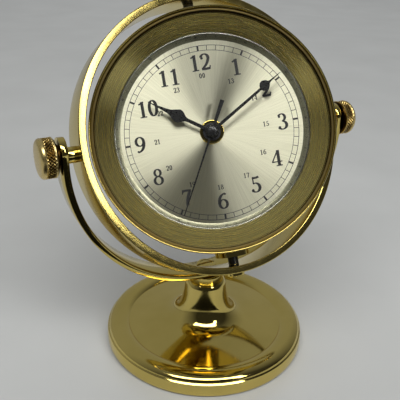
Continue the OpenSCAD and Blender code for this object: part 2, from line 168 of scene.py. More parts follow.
def placed(part, dx=0, dy=0, dz=0, turn=0):
    """A (vertices, faces) pair turned about +Z by degrees, then moved."""
    c, s = math.cos(math.radians(turn)), math.sin(math.radians(turn))
    verts = [(x * c - y * s + dx, x * s + y * c + dy, z + dz) for x, y, z in part[0]]
    return verts, part[1]


def build(name, part, local, body, material, replaces=(), bevel=0, angle=32):
    """Makes the piece, in the shared frame, riding on its body."""
    mesh = bpy.data.meshes.new(name)
    mesh.from_pydata([local @ (Vector(v) * MM) for v in part[0]], [], part[1])
    shape = bmesh.new()
    shape.from_mesh(mesh)
    bmesh.ops.recalc_face_normals(shape, faces=shape.faces)
    if bevel:
        sharp = [e for e in shape.edges if len(e.link_faces) == 2
                 and e.calc_face_angle() > math.radians(35)]
        bmesh.ops.bevel(shape, geom=sharp, offset=bevel * MM, segments=2, affect="EDGES",
                        clamp_overlap=True)
    shape.to_mesh(mesh)
    shape.free()
    mesh.shade_smooth()
    mesh.set_sharp_from_angle(angle=math.radians(angle))
    piece = bpy.data.objects.new(name, mesh)
    bpy.context.scene.collection.objects.link(piece)
    mesh.materials.append(material)
    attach(piece, body)
    if replaces:
        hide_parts(*replaces)
    return piece


def carve(piece, low, high, local):
    """Cuts a box, given in a local frame, out of a piece."""
    corners = [(x, y, z) for x in (low[0], high[0]) for y in (low[1], high[1])
               for z in (low[2], high[2])]
    sides = [(0, 1, 3, 2), (4, 6, 7, 5), (0, 4, 5, 1), (2, 3, 7, 6), (0, 2, 6, 4), (1, 5, 7, 3)]
    mesh = bpy.data.meshes.new("cutter")
    mesh.from_pydata([local @ (Vector(c) * MM) for c in corners], [], sides)
    cutter = bpy.data.objects.new("cutter", mesh)
    bpy.context.scene.collection.objects.link(cutter)
    cut = piece.modifiers.new("cut", "BOOLEAN")
    cut.operation = "DIFFERENCE"
    cut.object = cutter
    cut.solver = "EXACT"
    graph = bpy.context.evaluated_depsgraph_get()
    result = bpy.data.meshes.new_from_object(piece.evaluated_get(graph))
    piece.modifiers.remove(cut)
    piece.data = result
    result.set_sharp_from_angle(angle=math.radians(32))
    bpy.data.objects.remove(cutter)


# ---------------------------------------------------------------- material helpers

RANGE_SOCKETS = ("From Min", "From Max", "To Min", "To Max")


class Nodes:
    """A material's node tree with short calls for the nodes used here."""

    def __init__(self, name):
        self.material = bpy.data.materials.new(name)
        self.material.use_nodes = True
        self.tree = self.material.node_tree
        self.shader = self.tree.nodes["Principled BSDF"]

    def add(self, kind, **values):
        node = self.tree.nodes.new(kind)
        for key, value in values.items():
            if hasattr(node, key):
                setattr(node, key, value)
            else:
                node.inputs[key].default_value = value
        return node

    def link(self, output, target):
        self.tree.links.new(output, target)

    def math(self, operation, a, b=0.0, c=0.0):
        node = self.add("ShaderNodeMath", operation=operation)
        for socket, value in zip(node.inputs, (a, b, c)):
            if isinstance(value, (int, float)):
                socket.default_value = value
            else:
                self.link(value, socket)
        return node.outputs[0]

    def coordinates(self, local, scale=1000.0):
        """Position in a local frame, in millimetres for the usual scale."""
        place = self.add("ShaderNodeTexCoord").outputs["Object"]
        mapping = self.add("ShaderNodeMapping", vector_type="TEXTURE")
        mapping.inputs["Location"].default_value = local.to_translation()
        mapping.inputs["Rotation"].default_value = local.to_euler("XYZ")
        size = 1.0 / scale
        mapping.inputs["Scale"].default_value = (size, size, size)
        self.link(place, mapping.inputs["Vector"])
        return mapping.outputs["Vector"]

    def noise(self, vector, scale, detail=3.0, roughness=0.5):
        node = self.add("ShaderNodeTexNoise")
        node.inputs["Scale"].default_value = scale
        node.inputs["Detail"].default_value = detail
        node.inputs["Roughness"].default_value = roughness
        self.link(vector, node.inputs["Vector"])
        return node.outputs["Fac"]

    def remap(self, value, low, high, to_low, to_high):
        node = self.add("ShaderNodeMapRange")
        self.link(value, node.inputs["Value"])
        for key, number in zip(RANGE_SOCKETS, (low, high, to_low, to_high)):
            node.inputs[key].default_value = number
        return node.outputs["Result"]

    def ramp(self, value, stops):
        node = self.add("ShaderNodeValToRGB")
        elements = node.color_ramp.elements
        while len(elements) < len(stops):
            elements.new(0.5)
        for element, (position, colour) in zip(elements, stops):
            element.position = position
            element.color = (*colour, 1.0)
        self.link(value, node.inputs["Fac"])
        return node.outputs["Color"]

    def bump(self, height, strength, distance):
        node = self.add("ShaderNodeBump")
        node.inputs["Strength"].default_value = strength
        node.inputs["Distance"].default_value = distance
        self.link(height, node.inputs["Height"])
        self.link(node.outputs["Normal"], self.shader.inputs["Normal"])

    def polar(self, vector):
        """Radius and angle about the local Z axis."""
        parts = self.add("ShaderNodeSeparateXYZ")
        self.link(vector, parts.inputs[0])
        x, y = parts.outputs[0], parts.outputs[1]
        squares = self.math("ADD", self.math("MULTIPLY", x, x), self.math("MULTIPLY", y, y))
        radius = self.math("SQRT", squares)
        return radius, self.math("ARCTAN2", y, x), parts.outputs[2]


def brass(name, local=STAND, shades=((0.62, 0.49, 0.145), (0.68, 0.54, 0.17)), rough=(0.05, 0.12),
          lines=0.0, pitch=0.35):
    """Lacquered brass with faint tone changes, smudges and, on turned parts, fine tool lines."""
    n = Nodes(name)
    place = n.coordinates(local)
    tone = n.noise(place, 0.05, 4.0)
    n.link(n.ramp(tone, [(0.35, shades[0]), (0.65, shades[1])]), n.shader.inputs["Base Color"])
    n.shader.inputs["Metallic"].default_value = 1.0
    smudge = n.noise(place, 0.12, 5.0, 0.6)
    n.link(n.remap(smudge, 0.3, 0.7, rough[0], rough[1]), n.shader.inputs["Roughness"])
    grain = n.noise(place, 3.0, 2.0)
    if lines:
        radius = n.polar(place)[0]
        wave = n.math("SINE", n.math("MULTIPLY", radius, 2 * math.pi / pitch))
        height = n.math("ADD", n.math("MULTIPLY", wave, lines), n.math("MULTIPLY", grain, 0.3))
        n.bump(height, 0.12, 0.00004)
    else:
        n.bump(grain, 0.03, 0.00003)
    return n.material


def spun(name, shades, rough):
    """Metal turned on a lathe: satin bands that run round the case axis."""
    n = Nodes(name)
    radius, _, height = n.polar(n.coordinates(CASE))
    across = n.add("ShaderNodeCombineXYZ")
    n.link(n.math("MULTIPLY", radius, 2.4), across.inputs[0])
    n.link(n.math("MULTIPLY", height, 2.4), across.inputs[1])
    band = n.noise(across.outputs[0], 1.0, 4.0, 0.65)
    n.link(n.ramp(band, [(0.3, shades[0]), (0.7, shades[1])]), n.shader.inputs["Base Color"])
    n.shader.inputs["Metallic"].default_value = 1.0
    n.link(n.remap(band, 0.3, 0.7, rough[0], rough[1]), n.shader.inputs["Roughness"])
    n.shader.inputs["Anisotropic"].default_value = 0.6
    n.shader.inputs["Anisotropic Rotation"].default_value = 0.25
    tangent = n.add("ShaderNodeTangent", direction_type="UV_MAP", uv_map="polar")
    n.link(tangent.outputs[0], n.shader.inputs["Tangent"])
    n.bump(band, 0.1, 0.00003)
    return n.material


KNURL_DEPTH = 0.62
KNURL_INSET = 2.4


def knob_metal():
    """Brass with painted shade darkening the grooves of the knurl, plus random wear in its tone and
    roughness.
    """
    n = Nodes("knob_brass")
    place = n.coordinates(LEFT)
    radius, _, height = n.polar(place)
    high = span("left_knob", LEFT)[1]
    rise = n.remap(radius, high.x - KNURL_DEPTH, high.x - 0.1, 0.0, 0.8)
    smooth = n.math("GREATER_THAN", n.math("ABSOLUTE", height), high.z - KNURL_INSET)
    wear = n.noise(n.coordinates(STAND), 0.8, 4.0)
    groove_unshaded = n.math("MAXIMUM", rise, n.math("MULTIPLY", smooth, 0.8))
    level = n.math("ADD", groove_unshaded, n.math("MULTIPLY", wear, 0.25))
    # Colour runs from near black in the knurl grooves (painted shade) to bright brass on the points and on
    # the plain crown.
    stops = [(0.2, (0.035, 0.018, 0.004)), (0.6, (0.30, 0.19, 0.05)), (0.85, (0.68, 0.53, 0.22))]
    n.link(n.ramp(level, stops), n.shader.inputs["Base Color"])
    n.shader.inputs["Metallic"].default_value = 1.0
    n.link(n.remap(wear, 0.3, 0.7, 0.26, 0.34), n.shader.inputs["Roughness"])
    return n.material


def plastic(name, dark, light, rough=0.45, speckle=1.2):
    """Moulded plastic with a fine spark-eroded grain."""
    n = Nodes(name)
    place = n.coordinates(STAND)
    grain = n.noise(place, speckle, 3.0)
    n.link(n.ramp(grain, [(0.3, dark), (0.7, light)]), n.shader.inputs["Base Color"])
    n.link(n.remap(grain, 0.3, 0.7, rough - 0.06, rough + 0.08), n.shader.inputs["Roughness"])
    n.bump(n.noise(place, speckle * 3, 2.0), 0.15, 0.00005)
    return n.material


def metal(name, dark, light, rough=0.3, metallic=1.0, scale=0.6):
    """Plated or cast metal with patchy tone."""
    n = Nodes(name)
    place = n.coordinates(STAND)
    patch = n.noise(place, scale, 5.0, 0.6)
    n.link(n.ramp(patch, [(0.3, dark), (0.7, light)]), n.shader.inputs["Base Color"])
    n.shader.inputs["Metallic"].default_value = metallic
    n.link(n.remap(patch, 0.3, 0.7, rough - 0.08, rough + 0.12), n.shader.inputs["Roughness"])
    n.bump(n.noise(place, scale * 5, 3.0), 0.2, 0.00006)
    return n.material


def felt():
    """Green baize: dense fibres with a soft nap."""
    n = Nodes("felt")
    place = n.coordinates(STAND)
    fibre = n.noise(place, 5.0, 6.0, 0.7)
    n.link(n.ramp(fibre, [(0.3, (0.012, 0.045, 0.02)), (0.7, (0.04, 0.12, 0.06))]),
           n.shader.inputs["Base Color"])
    n.shader.inputs["Roughness"].default_value = 0.95
    n.shader.inputs["Sheen Weight"].default_value = 0.4
    n.bump(fibre, 0.8, 0.0003)
    return n.material


def dial_metal():
    """Champagne-silver dial, brushed outward from its centre."""
    n = Nodes("silvered_dial")
    place = n.coordinates(CASE)
    radius, angle, _ = n.polar(place)
    spokes = n.add("ShaderNodeCombineXYZ")
    n.link(n.math("MULTIPLY", n.math("COSINE", angle), 90.0), spokes.inputs[0])
    n.link(n.math("MULTIPLY", n.math("SINE", angle), 90.0), spokes.inputs[1])
    n.link(n.math("MULTIPLY", radius, 0.04), spokes.inputs[2])
    streak = n.noise(spokes.outputs[0], 1.0, 4.0, 0.7)
    tone = n.ramp(streak, [(0.25, (0.70, 0.68, 0.50)), (0.75, (0.92, 0.90, 0.70))])
    n.link(tone, n.shader.inputs["Base Color"])
    n.shader.inputs["Metallic"].default_value = 0.95
    n.link(n.remap(streak, 0.25, 0.75, 0.34, 0.42), n.shader.inputs["Roughness"])
    n.shader.inputs["Anisotropic"].default_value = 0.98
    tangent = n.add("ShaderNodeTangent", direction_type="UV_MAP", uv_map="polar")
    n.link(tangent.outputs[0], n.shader.inputs["Tangent"])
    n.bump(streak, 0.08, 0.00003)
    return n.material


def ink(name, shade=0.012, rough=0.5):
    """Printed or painted black with a slight unevenness."""
    n = Nodes(name)
    place = n.coordinates(CASE)
    patch = n.noise(place, 1.5, 3.0)
    light = (shade * 2, shade * 2, shade * 2)
    n.link(n.ramp(patch, [(0.3, (shade, shade, shade)), (0.7, light)]), n.shader.inputs["Base Color"])
    n.link(n.remap(patch, 0.3, 0.7, rough - 0.08, rough + 0.08), n.shader.inputs["Roughness"])
    return n.material


def crystal_glass():
    """Clear mineral glass with faint smears, which lets lamps light what lies behind it."""
    n = Nodes("crystal_glass")
    place = n.coordinates(CASE)
    n.shader.inputs["Base Color"].default_value = (0.98, 0.99, 0.98, 1.0)
    n.shader.inputs["Transmission Weight"].default_value = 1.0
    n.shader.inputs["IOR"].default_value = 1.45
    smear = n.noise(place, 0.06, 4.0)
    n.link(n.remap(smear, 0.35, 0.75, 0.0, 0.02), n.shader.inputs["Roughness"])
    rays = n.add("ShaderNodeLightPath").outputs
    lit = n.math("MAXIMUM", rays["Is Shadow Ray"], rays["Is Diffuse Ray"])
    lit = n.math("MAXIMUM", lit, rays["Is Glossy Ray"])
    mix = n.add("ShaderNodeMixShader")
    clear = n.add("ShaderNodeBsdfTransparent")
    n.link(lit, mix.inputs[0])
    n.link(n.shader.outputs[0], mix.inputs[1])
    n.link(clear.outputs[0], mix.inputs[2])
    n.link(mix.outputs[0], n.tree.nodes["Material Output"].inputs["Surface"])
    return n.material


def floor_paint():
    """Pale matt table top."""
    n = Nodes("table")
    place = n.coordinates(STAND)
    patch = n.noise(place, 0.01, 4.0)
    n.link(n.ramp(patch, [(0.3, (0.50, 0.51, 0.51)), (0.7, (0.54, 0.55, 0.55))]),
           n.shader.inputs["Base Color"])
    n.shader.inputs["Roughness"].default_value = 0.55
    return n.material


POLISHED = brass("polished_brass")
RIM_BRASS = brass("bezel_brass", CASE, lines=0.15)
RING_BRASS = brass("ring_brass", RING, rough=(0.13, 0.2), lines=0.5, pitch=0.22)
CONE_BRASS = spun("satin_brass", ((0.60, 0.51, 0.19), (0.68, 0.58, 0.23)), (0.24, 0.30))
# Brass darkened to a fraction of its brightness: painted shade for the dark line under the bezel lip.
SEAL_BRASS_SHADED = spun("seal_brass_painted_shade", ((0.16, 0.12, 0.04), (0.24, 0.18, 0.07)), (0.4, 0.5))
# Greyer and darker than the dial: painted shade for the band round the dial's edge, laid on a real sloped
# margin.
RIM_SILVER_SHADED = spun("dial_rim", ((0.52, 0.52, 0.46), (0.66, 0.66, 0.58)), (0.16, 0.24))
KNOB_BRASS = knob_metal()
DIAL_METAL = dial_metal()
DIAL_INK = ink("dial_ink", 0.01, 0.55)
HAND_BLACK = ink("black_hands", 0.008, 0.3)
GLASS = crystal_glass()
NYLON = plastic("black_nylon", (0.012, 0.012, 0.012), (0.025, 0.025, 0.026), 0.4)


# ---------------------------------------------------------------- stand

BASE_R = span("base", STAND)[1].x
STEM_TOP = span("base", STAND)[1].z
BAND_BOTTOM = span("base", STAND)[0].z
STEM_R = 10.8
YOKE_T = 3.0
BOLT_R = 3
NUT_POCKET_R, NUT_POCKET_TOP = 8, 14
CAVITY_TOP = 6
BOLT_HEAD_H = 2.2


def base_outline():
    r = BASE_R
    outside = [(r - 1.5, BAND_BOTTOM), (r - 0.9, BAND_BOTTOM)]
    outside += curve((r - 0.9, BAND_BOTTOM), (r, 1.0), (r, 3.2), 6)
    outside += curve((r, 3.2), (r, 6.2), (r - 0.45, 7.5), 6)
    outside += curve((r - 0.45, 7.5), (r - 0.9, 7.95), (r - 1.15, 8.1), 3)
    outside += arc((r - 6.9, 8), 5.7, 3.3, 4, 156, 30)
    outside += curve((23, 12), (17, 13.2), (14.6, 17.6), 14)
    outside += curve((14.6, 17.6), (12, 22.4), (STEM_R, 33), 16)[1:]
    outside += curve((STEM_R, 33), (STEM_R - 0.5, 34.6), (STEM_R - 1.3, STEM_TOP), 4)
    inside = [(BOLT_R, STEM_TOP), (BOLT_R, NUT_POCKET_TOP), (NUT_POCKET_R, NUT_POCKET_TOP),
              (NUT_POCKET_R, CAVITY_TOP), (r - 3.5, CAVITY_TOP), (r - 3.5, BAND_BOTTOM)]
    return outside + inside


def yoke_part():
    """Strap bent to a half circle with straight, round-ended arms; its width lies along Y."""
    low, high = span("yoke", STAND)
    half = high.y
    outer = high.x
    centre_z = low.z + outer
    thick = YOKE_T
    end_z = high.z - half
    edge = 0.35
    stations = []
    for i in range(25):
        w = math.pi / 2 * i / 24
        z = end_z + half * math.cos(w)
        stations.append((z, max(half * math.sin(w), 0.02)))
    stations.append(((end_z + centre_z) / 2, half))
    path = [((-outer, z), (-1, 0), wide) for z, wide in stations]
    steps = 120
    for i in range(steps + 1):
        w = math.pi + math.pi * i / steps
        out = (math.cos(w), math.sin(w))
        path.append(((outer * out[0], centre_z + outer * out[1]), out, half))
    path += [((-p[0][0], p[0][1]), (1, 0), p[2]) for p in reversed(path[:len(stations)])]
    verts = []
    for (x, z), (nx, nz), wide in path:
        e = min(edge, wide * 0.9)
        section = [(0, wide - e), (e, wide), (thick - e, wide), (thick, wide - e),
                   (thick, e - wide), (thick - e, -wide), (e, -wide), (0, e - wide)]
        for inward, y in section:
            verts.append((x - nx * inward, y, z - nz * inward))
    count = 8
    faces = []
    for i in range(len(path) - 1):
        for k in range(count):
            n = (k + 1) % count
            faces.append((i * count + k, i * count + n, (i + 1) * count + n, (i + 1) * count + k))
    last = (len(path) - 1) * count
    faces.append(tuple(range(count)))
    faces.append(tuple(last + k for k in range(count - 1, -1, -1)))
    return verts, faces


def screw_head(radius, seat, top):
    """Cheese head with a softly crowned top; its slot is cut afterwards with carve()."""
    side = rounded([(radius, seat), (radius, top - 0.5), (radius * 0.6, top - 0.05)], 0.5)[4:]
    return lathe([(0, seat)] + side + [(0, top)], 72, closed=False)


def make_stand():
    build("base_turned", lathe(base_outline(), 240), STAND, "stand", POLISHED, ["base"], angle=24)
    build("yoke_strap", yoke_part(), STAND, "stand", POLISHED, ["yoke"], angle=50)
    low, high = span("yoke_bolt", STAND)
    shape = screw_head(high.x, high.z - BOLT_HEAD_H, high.z)
    head = build("yoke_bolt_head", shape, STAND, "stand", POLISHED, ["yoke_bolt"])
    carve(head, (-high.x - 1, -0.7, high.z - 1), (high.x + 1, 0.7, high.z + 1), STAND)


# ---------------------------------------------------------------- thumbscrews

STUD_R = 2
BORE_R = 2.06


def knurl_depth(u, v):
    """Height of a diamond knurl, 0 in the grooves and 1 on the points."""
    a = abs((u + v) % 1 - 0.5) * 2
    b = abs((u - v) % 1 - 0.5) * 2
    return min(1 - a, 1 - b)


def knob_part(low, high, radius):
    teeth = 36
    around = teeth * 8
    rows = 30
    knurl_from, knurl_to = low + 0.9, high - KNURL_INSET
    depth = KNURL_DEPTH
    verts = [(0, 0, low)]
    rings = []

    def ring(points):
        rings.append(list(range(len(verts), len(verts) + around)))
        verts.extend(points)

    def plain(r, z):
        ring([(r * math.cos(2 * math.pi * k / around), r * math.sin(2 * math.pi * k / around), z)
              for k in range(around)])

    for r, z in [(3, low), (radius - 1.4, low), (radius - 0.9, low + 0.15), (radius - 0.45, low + 0.7)]:
        plain(r, z)
    pitch = 2 * math.pi * radius / teeth
    for i in range(rows + 1):
        z = knurl_from + (knurl_to - knurl_from) * i / rows
        fade = min(1, 4 * i / rows, 4 * (rows - i) / rows)
        points = []
        for k in range(around):
            w = 2 * math.pi * k / around
            rise = knurl_depth(k * teeth / around, (z - low) / pitch)
            r = radius - depth * fade * (1 - rise)
            points.append((r * math.cos(w), r * math.sin(w), z))
        ring(points)
    shoulder = (radius * 0.72, high - 0.35)
    crown = curve((radius - 0.05, knurl_to + 0.1), (radius - 0.3, high - 0.5), shoulder, 8)
    crown += curve(shoulder, (radius * 0.5, high - 0.05), (0.4, high), 6)[1:]
    for r, z in crown:
        plain(r, z)
    verts.append((0, 0, high))
    tip = len(verts) - 1
    faces = []
    for k in range(around):
        n = (k + 1) % around
        faces.append((0, rings[0][n], rings[0][k]))
        faces.append((rings[-1][k], rings[-1][n], tip))
        for a, b in zip(rings, rings[1:]):
            faces.append((a[k], a[n], b[n], b[k]))
    return verts, faces


def make_knobs():
    for side, local in (("left", LEFT), ("right", RIGHT)):
        low, high = span(side + "_knob", local)
        collar_low, collar_high = span(side + "_collar", local)
        stud_end = collar_high.z + 0.3
        stud = lathe([(0, low.z), (STUD_R - 0.4, low.z), (STUD_R, low.z + 0.4), (STUD_R, stud_end),
                      (0, stud_end)], 48, closed=False)
        head = knob_part(collar_high.z + 0.05, high.z, high.x)
        build(side + "_knob_knurled", join(head, stud), local, side + "_screw", KNOB_BRASS,
              [side + "_knob"], angle=20)
        washer = rounded([(BORE_R, collar_low.z), (collar_high.x, collar_low.z),
                          (collar_high.x, collar_high.z), (BORE_R, collar_high.z)], 0.3)
        # The collar takes the knob's material, with its painted groove shade.
        build(side + "_collar_turned", lathe(washer, 72), local, side + "_clamp", KNOB_BRASS,
              [side + "_collar"])


# ---------------------------------------------------------------- gimbal ring

RING_T = 3.5
BUSH_R = 3.7


def make_ring():
    low, high = span("gimbal_ring", RING)
    outer = high.x
    inner = outer - RING_T
    section = rounded([(inner, low.z), (outer, low.z), (outer, high.z), (inner, high.z)], 0.5, 5)
    build("gimbal_ring_turned", lathe(section, 320), RING, "ring", RING_BRASS, ["gimbal_ring"], angle=24)
    for side, local in (("left", LEFT), ("right", RIGHT)):
        end = span(side + "_bush", local)[1].z
        start = outer - 0.12
        bush = rounded([(BORE_R, start), (BUSH_R, start), (BUSH_R, end), (BORE_R, end)], 0.35)
        build(side + "_bush_turned", lathe(bush, 72), local, "ring", POLISHED, [side + "_bush"])


# ---------------------------------------------------------------- case

DIAL_T = 0.8
DIAL_R = 44.0
DIAL_RIM_R = 41.5
DIAL_RIM_H = 4.6
SWIVEL_HEAD_R = 4.5
SWIVEL_HEAD_H = 2.6
SPACER_R = 2.5
COVER_T = 3


def make_case():
    rim_low, rim_high = span("bezel", CASE)
    rim_r, front, back = rim_high.x, rim_high.z, rim_low.z
    lip = rim_r - 1.1
    glass_low, glass_high = span("crystal", CASE)
    seat = glass_low.z
    drum_r = span("back_cover", CASE)[1].x
    rim = [(drum_r, back), (rim_r - 1.6, back)]
    rim += curve((rim_r - 1.6, back), (rim_r, back + 0.6), (rim_r, back + 4), 10)
    rim += [(rim_r, front - 3.2)]
    rim += curve((rim_r, front - 3.2), (rim_r + 0.0, front), (rim_r - 0.55, front), 8)
    rim += curve((rim_r - 0.55, front), (lip, front), (lip, front - 0.9), 6)
    rim += [(lip, seat), (rim_r - 2.1, seat), (rim_r - 2.1, back + 4), (drum_r, back + 4)]
    build("bezel_turned", lathe(rim, 320), CASE, "case", RIM_BRASS, ["bezel"], angle=30)

    glass = [(0, glass_low.z), (glass_high.x, glass_low.z), (glass_high.x, glass_high.z),
             (0, glass_high.z)]
    build("crystal_clear", lathe(glass, 160, closed=False), CASE, "case", GLASS, ["crystal"])
    ring_low, ring_high = span("crystal_ring", CASE)
    seal_r = lip - 1.1
    seal = rounded([(seal_r, ring_low.z), (lip, ring_low.z), (lip, ring_high.z),
                    (seal_r, ring_high.z)], 0.3, 3)
    # The crystal ring wears the darkened brass, painted shade in the gap below the lip.
    piece = build("crystal_ring_turned", lathe(seal, 240), CASE, "case", SEAL_BRASS_SHADED, ["crystal_ring"])
    polar_uv(piece, CASE)

    cone_low, cone_high = span("reflector", CASE)
    cone_out = cone_high.x - 0.7
    flange = drum_r - 2.1
    rim_front = cone_low.z + DIAL_RIM_H
    cone = [(DIAL_R + 1.2, cone_low.z), (flange, cone_low.z), (flange, cone_low.z + 0.6),
            (DIAL_R + 2, cone_low.z + 0.6), (DIAL_R + 1.4, rim_front), (cone_high.x, cone_high.z - 0.4),
            (cone_high.x, cone_high.z), (cone_out, cone_high.z), (cone_out - 0.15, cone_high.z - 0.25),
            (DIAL_R + 0.35, rim_front + 0.65), (DIAL_R + 0.2, rim_front + 0.45),
            (DIAL_R + 0.6, rim_front - 0.2)]
    piece = build("reflector_turned", lathe(cone, 320), CASE, "case", CONE_BRASS, ["reflector"], angle=24)
    polar_uv(piece, CASE)

    cover_low, cover_high = span("back_cover", CASE)
    outer, rear = cover_high.x, cover_low.z
    inner = outer - 2.06
    dome = [(0, rear), (29.7, rear), (30, rear), (30.6, rear + 0.35), (31.4, rear + 0.35), (32, rear),
            (32.3, rear)]
    dome += [(outer - 3.3, rear)] + curve((outer - 3, rear), (outer, rear), (outer, rear + 1.8), 8)
    dome += [(outer, rear + COVER_T), (inner, rear + COVER_T), (inner, cover_high.z),
             (inner - 2, cover_high.z), (inner - 2, rear + 2.4), (0, rear + 2.4)]
    build("back_cover_turned", lathe(dome, 240, closed=False), CASE, "back", RIM_BRASS, ["back_cover"])

    for side, local in (("upper", TOP), ("lower", BOTTOM)):
        node = side + "_swivel_screw"
        low, high = span(node, local)
        head_seat = high.z - SWIVEL_HEAD_H
        shank = [(0, low.z), (STUD_R, low.z), (STUD_R, head_seat + 0.05), (0, head_seat + 0.05)]
        screw = join(screw_head(SWIVEL_HEAD_R, head_seat, high.z), lathe(shank, 48, closed=False))
        piece = build(node + "_turned", screw, local, "case", POLISHED, [node])
        carve(piece, (-6, -0.6, high.z - 1.2), (6, 0.6, high.z + 1), local)
        low, high = span(side + "_spacer", local)
        spacer = rounded([(STUD_R, low.z), (SPACER_R, low.z), (SPACER_R, high.z), (STUD_R, high.z)], 0.15)
        build(side + "_spacer_moulded", lathe(spacer, 48), local, "case", NYLON, [side + "_spacer"])


# ---------------------------------------------------------------- dial print

def ribbon(path, thick, thin, z):
    """Pen stroke along a path: thick where it runs up and down, thin where it runs across."""
    verts = []
    faces = []
    count = len(path)
    for i, point in enumerate(path):
        ahead = Vector(path[min(i + 1, count - 1)]) - Vector(path[max(i - 1, 0)])
        ahead.normalize()
        wide = thin + (thick - thin) * abs(ahead.y) ** 1.5
        side = Vector((-ahead.y, ahead.x)) * wide / 2
        verts += [(point[0] + side.x, point[1] + side.y, z), (point[0] - side.x, point[1] - side.y, z)]
    for i in range(count - 1):
        faces.append((2 * i, 2 * i + 1, 2 * i + 3, 2 * i + 2))
    return verts, faces


def dot(x, y, r, z, steps=20):
    points = arc((x, y), r, r, 0, 360 - 360 / steps, steps - 1)
    return [(px, py, z) for px, py in points], [tuple(range(steps))]


def bar(x0, y0, x1, y1, z):
    return [(x0, y0, z), (x1, y0, z), (x1, y1, z), (x0, y1, z)], [(0, 1, 2, 3)]


def serif(x, y, wide, thin, z):
    """Bracketed serif centred on x, y."""
    return bar(x - wide / 2, y - thin / 2, x + wide / 2, y + thin / 2, z)


def digit(figure, t, s, z):
    """One serif figure, 1 high, on y = 0 and centred on x = 0; t and s are its thick and thin strokes."""
    h = s / 2
    if figure == "0":
        return [ribbon(arc((0, 0.5), 0.245 - t / 3, 0.5 - h, 90, 450, 48), t, s, z)]
    if figure == "1":
        return [bar(-t / 2, 0.01, t / 2, 0.985, z), serif(0, h, 0.36, s, z),
                ribbon(curve((t / 2, 0.97), (-0.04, 0.9), (-0.19, 0.83), 8), s * 1.3, s * 1.3, z)]
    if figure == "2":
        top = arc((-0.01, 0.72), 0.2, 0.28 - h, 165, -30, 26)
        tail = curve(top[-1], (0.08, 0.3), (-0.21, 0.07), 14)
        foot = curve((-0.22, 0.075), (0.0, 0.05), (0.22, 0.075), 10)
        return [ribbon(top + tail[1:], t, s, z), ribbon(foot, 0.15, 0.15, z), dot(-0.16, 0.73, t * 0.45, z),
                ribbon([(0.2, 0.02), (0.245, 0.24)], s, s * 0.8, z)]
    if figure == "3":
        upper = arc((-0.02, 0.755), 0.175, 0.245 - h, 155, -90, 26)
        lower = arc((-0.03, 0.28), 0.225, 0.28 - h, 90, -150, 30)
        return [ribbon(upper, t * 0.9, s, z), ribbon(lower, t, s, z), dot(-0.15, 0.81, t * 0.4, z),
                dot(-0.19, 0.17, t * 0.45, z)]
    if figure == "4":
        return [bar(0.02, 0.02, 0.02 + t, 0.98, z), bar(-0.28, 0.24, 0.28, 0.24 + s, z),
                ribbon([(0.1, 0.97), (-0.26, 0.27)], s, s, z), serif(0.02 + t / 2, h, 0.34, s, z)]
    if figure == "5":
        bowl = arc((-0.03, 0.31), 0.225, 0.31 - h, 120, -148, 34)
        return [ribbon(bowl, t, s, z), dot(-0.19, 0.17, t * 0.45, z), bar(-0.16, 0.54, -0.16 + s, 0.96, z),
                ribbon(curve((-0.16, 0.93), (0.04, 0.87), (0.2, 0.96), 8), 0.13, 0.13, z)]
    if figure in "69":
        bowl = arc((0.01, 0.3), 0.205, 0.3 - h, 0, 360, 44)
        sweep = curve((-0.2, 0.32), (-0.2, 0.86), (0.17, 0.95), 18)
        parts = [ribbon(bowl, t * 0.92, s, z), ribbon(sweep, t, s, z), dot(0.16, 0.9, t * 0.36, z)]
        if figure == "6":
            return parts
        return [([(-x, 0.985 - y, level) for x, y, level in verts], faces) for verts, faces in parts]
    if figure == "7":
        return [ribbon(curve((-0.2, 0.9), (0.02, 0.95), (0.23, 0.9), 8), 0.14, 0.14, z),
                ribbon([(-0.2, 0.99), (-0.24, 0.72)], s, s, z),
                ribbon(curve((0.2, 0.9), (-0.03, 0.5), (-0.05, 0.01), 14), t, s, z)]
    upper = arc((0, 0.755), 0.16, 0.245 - h, 90, 450, 40)
    lower = arc((0, 0.28), 0.205, 0.28 - h, 90, 450, 44)
    return [ribbon(upper, t * 0.8, s, z), ribbon(lower, t * 0.9, s, z)]


def number(text, x, y, height, spacing, strokes, z, stretch=1.0):
    """Figures of a number, side by side and centred on x, y."""
    parts = []
    start = -(len(text) - 1) / 2
    for i, figure in enumerate(text):
        wide = spacing * height
        for verts, faces in digit(figure, *strokes, 0):
            parts.append(([(x + (start + i) * wide + vx * height * stretch, y + (vy - 0.5) * height, z)
                           for vx, vy, _ in verts], faces))
    return parts


HOUR_STROKES = (0.165, 0.07)
LATE_STROKES = (0.19, 0.11)
TRACK_R = 39.8
TRACK_W = 2.3
PRINT_TURN = -0.55
PRINT_SHIFT = (-0.2, -0.35)
# Radius of each hour number and its extra turn round the dial, in degrees
HOUR_PLACES = {12: (32.2, 0), 1: (31.8, 0), 2: (31.6, 0), 3: (32.6, 0.4), 4: (31.7, 0.7), 5: (30.9, -1.2),
               6: (31.3, 0), 7: (31.3, 0), 8: (31.5, 0), 9: (32.8, 0), 10: (30.9, 0), 11: (31.4, 1.8)}
HOUR_STRETCH = 1.14
HOUR_HEIGHT = 7.4
LATE_HEIGHT = 2.25
NUT_BORE_R = 4


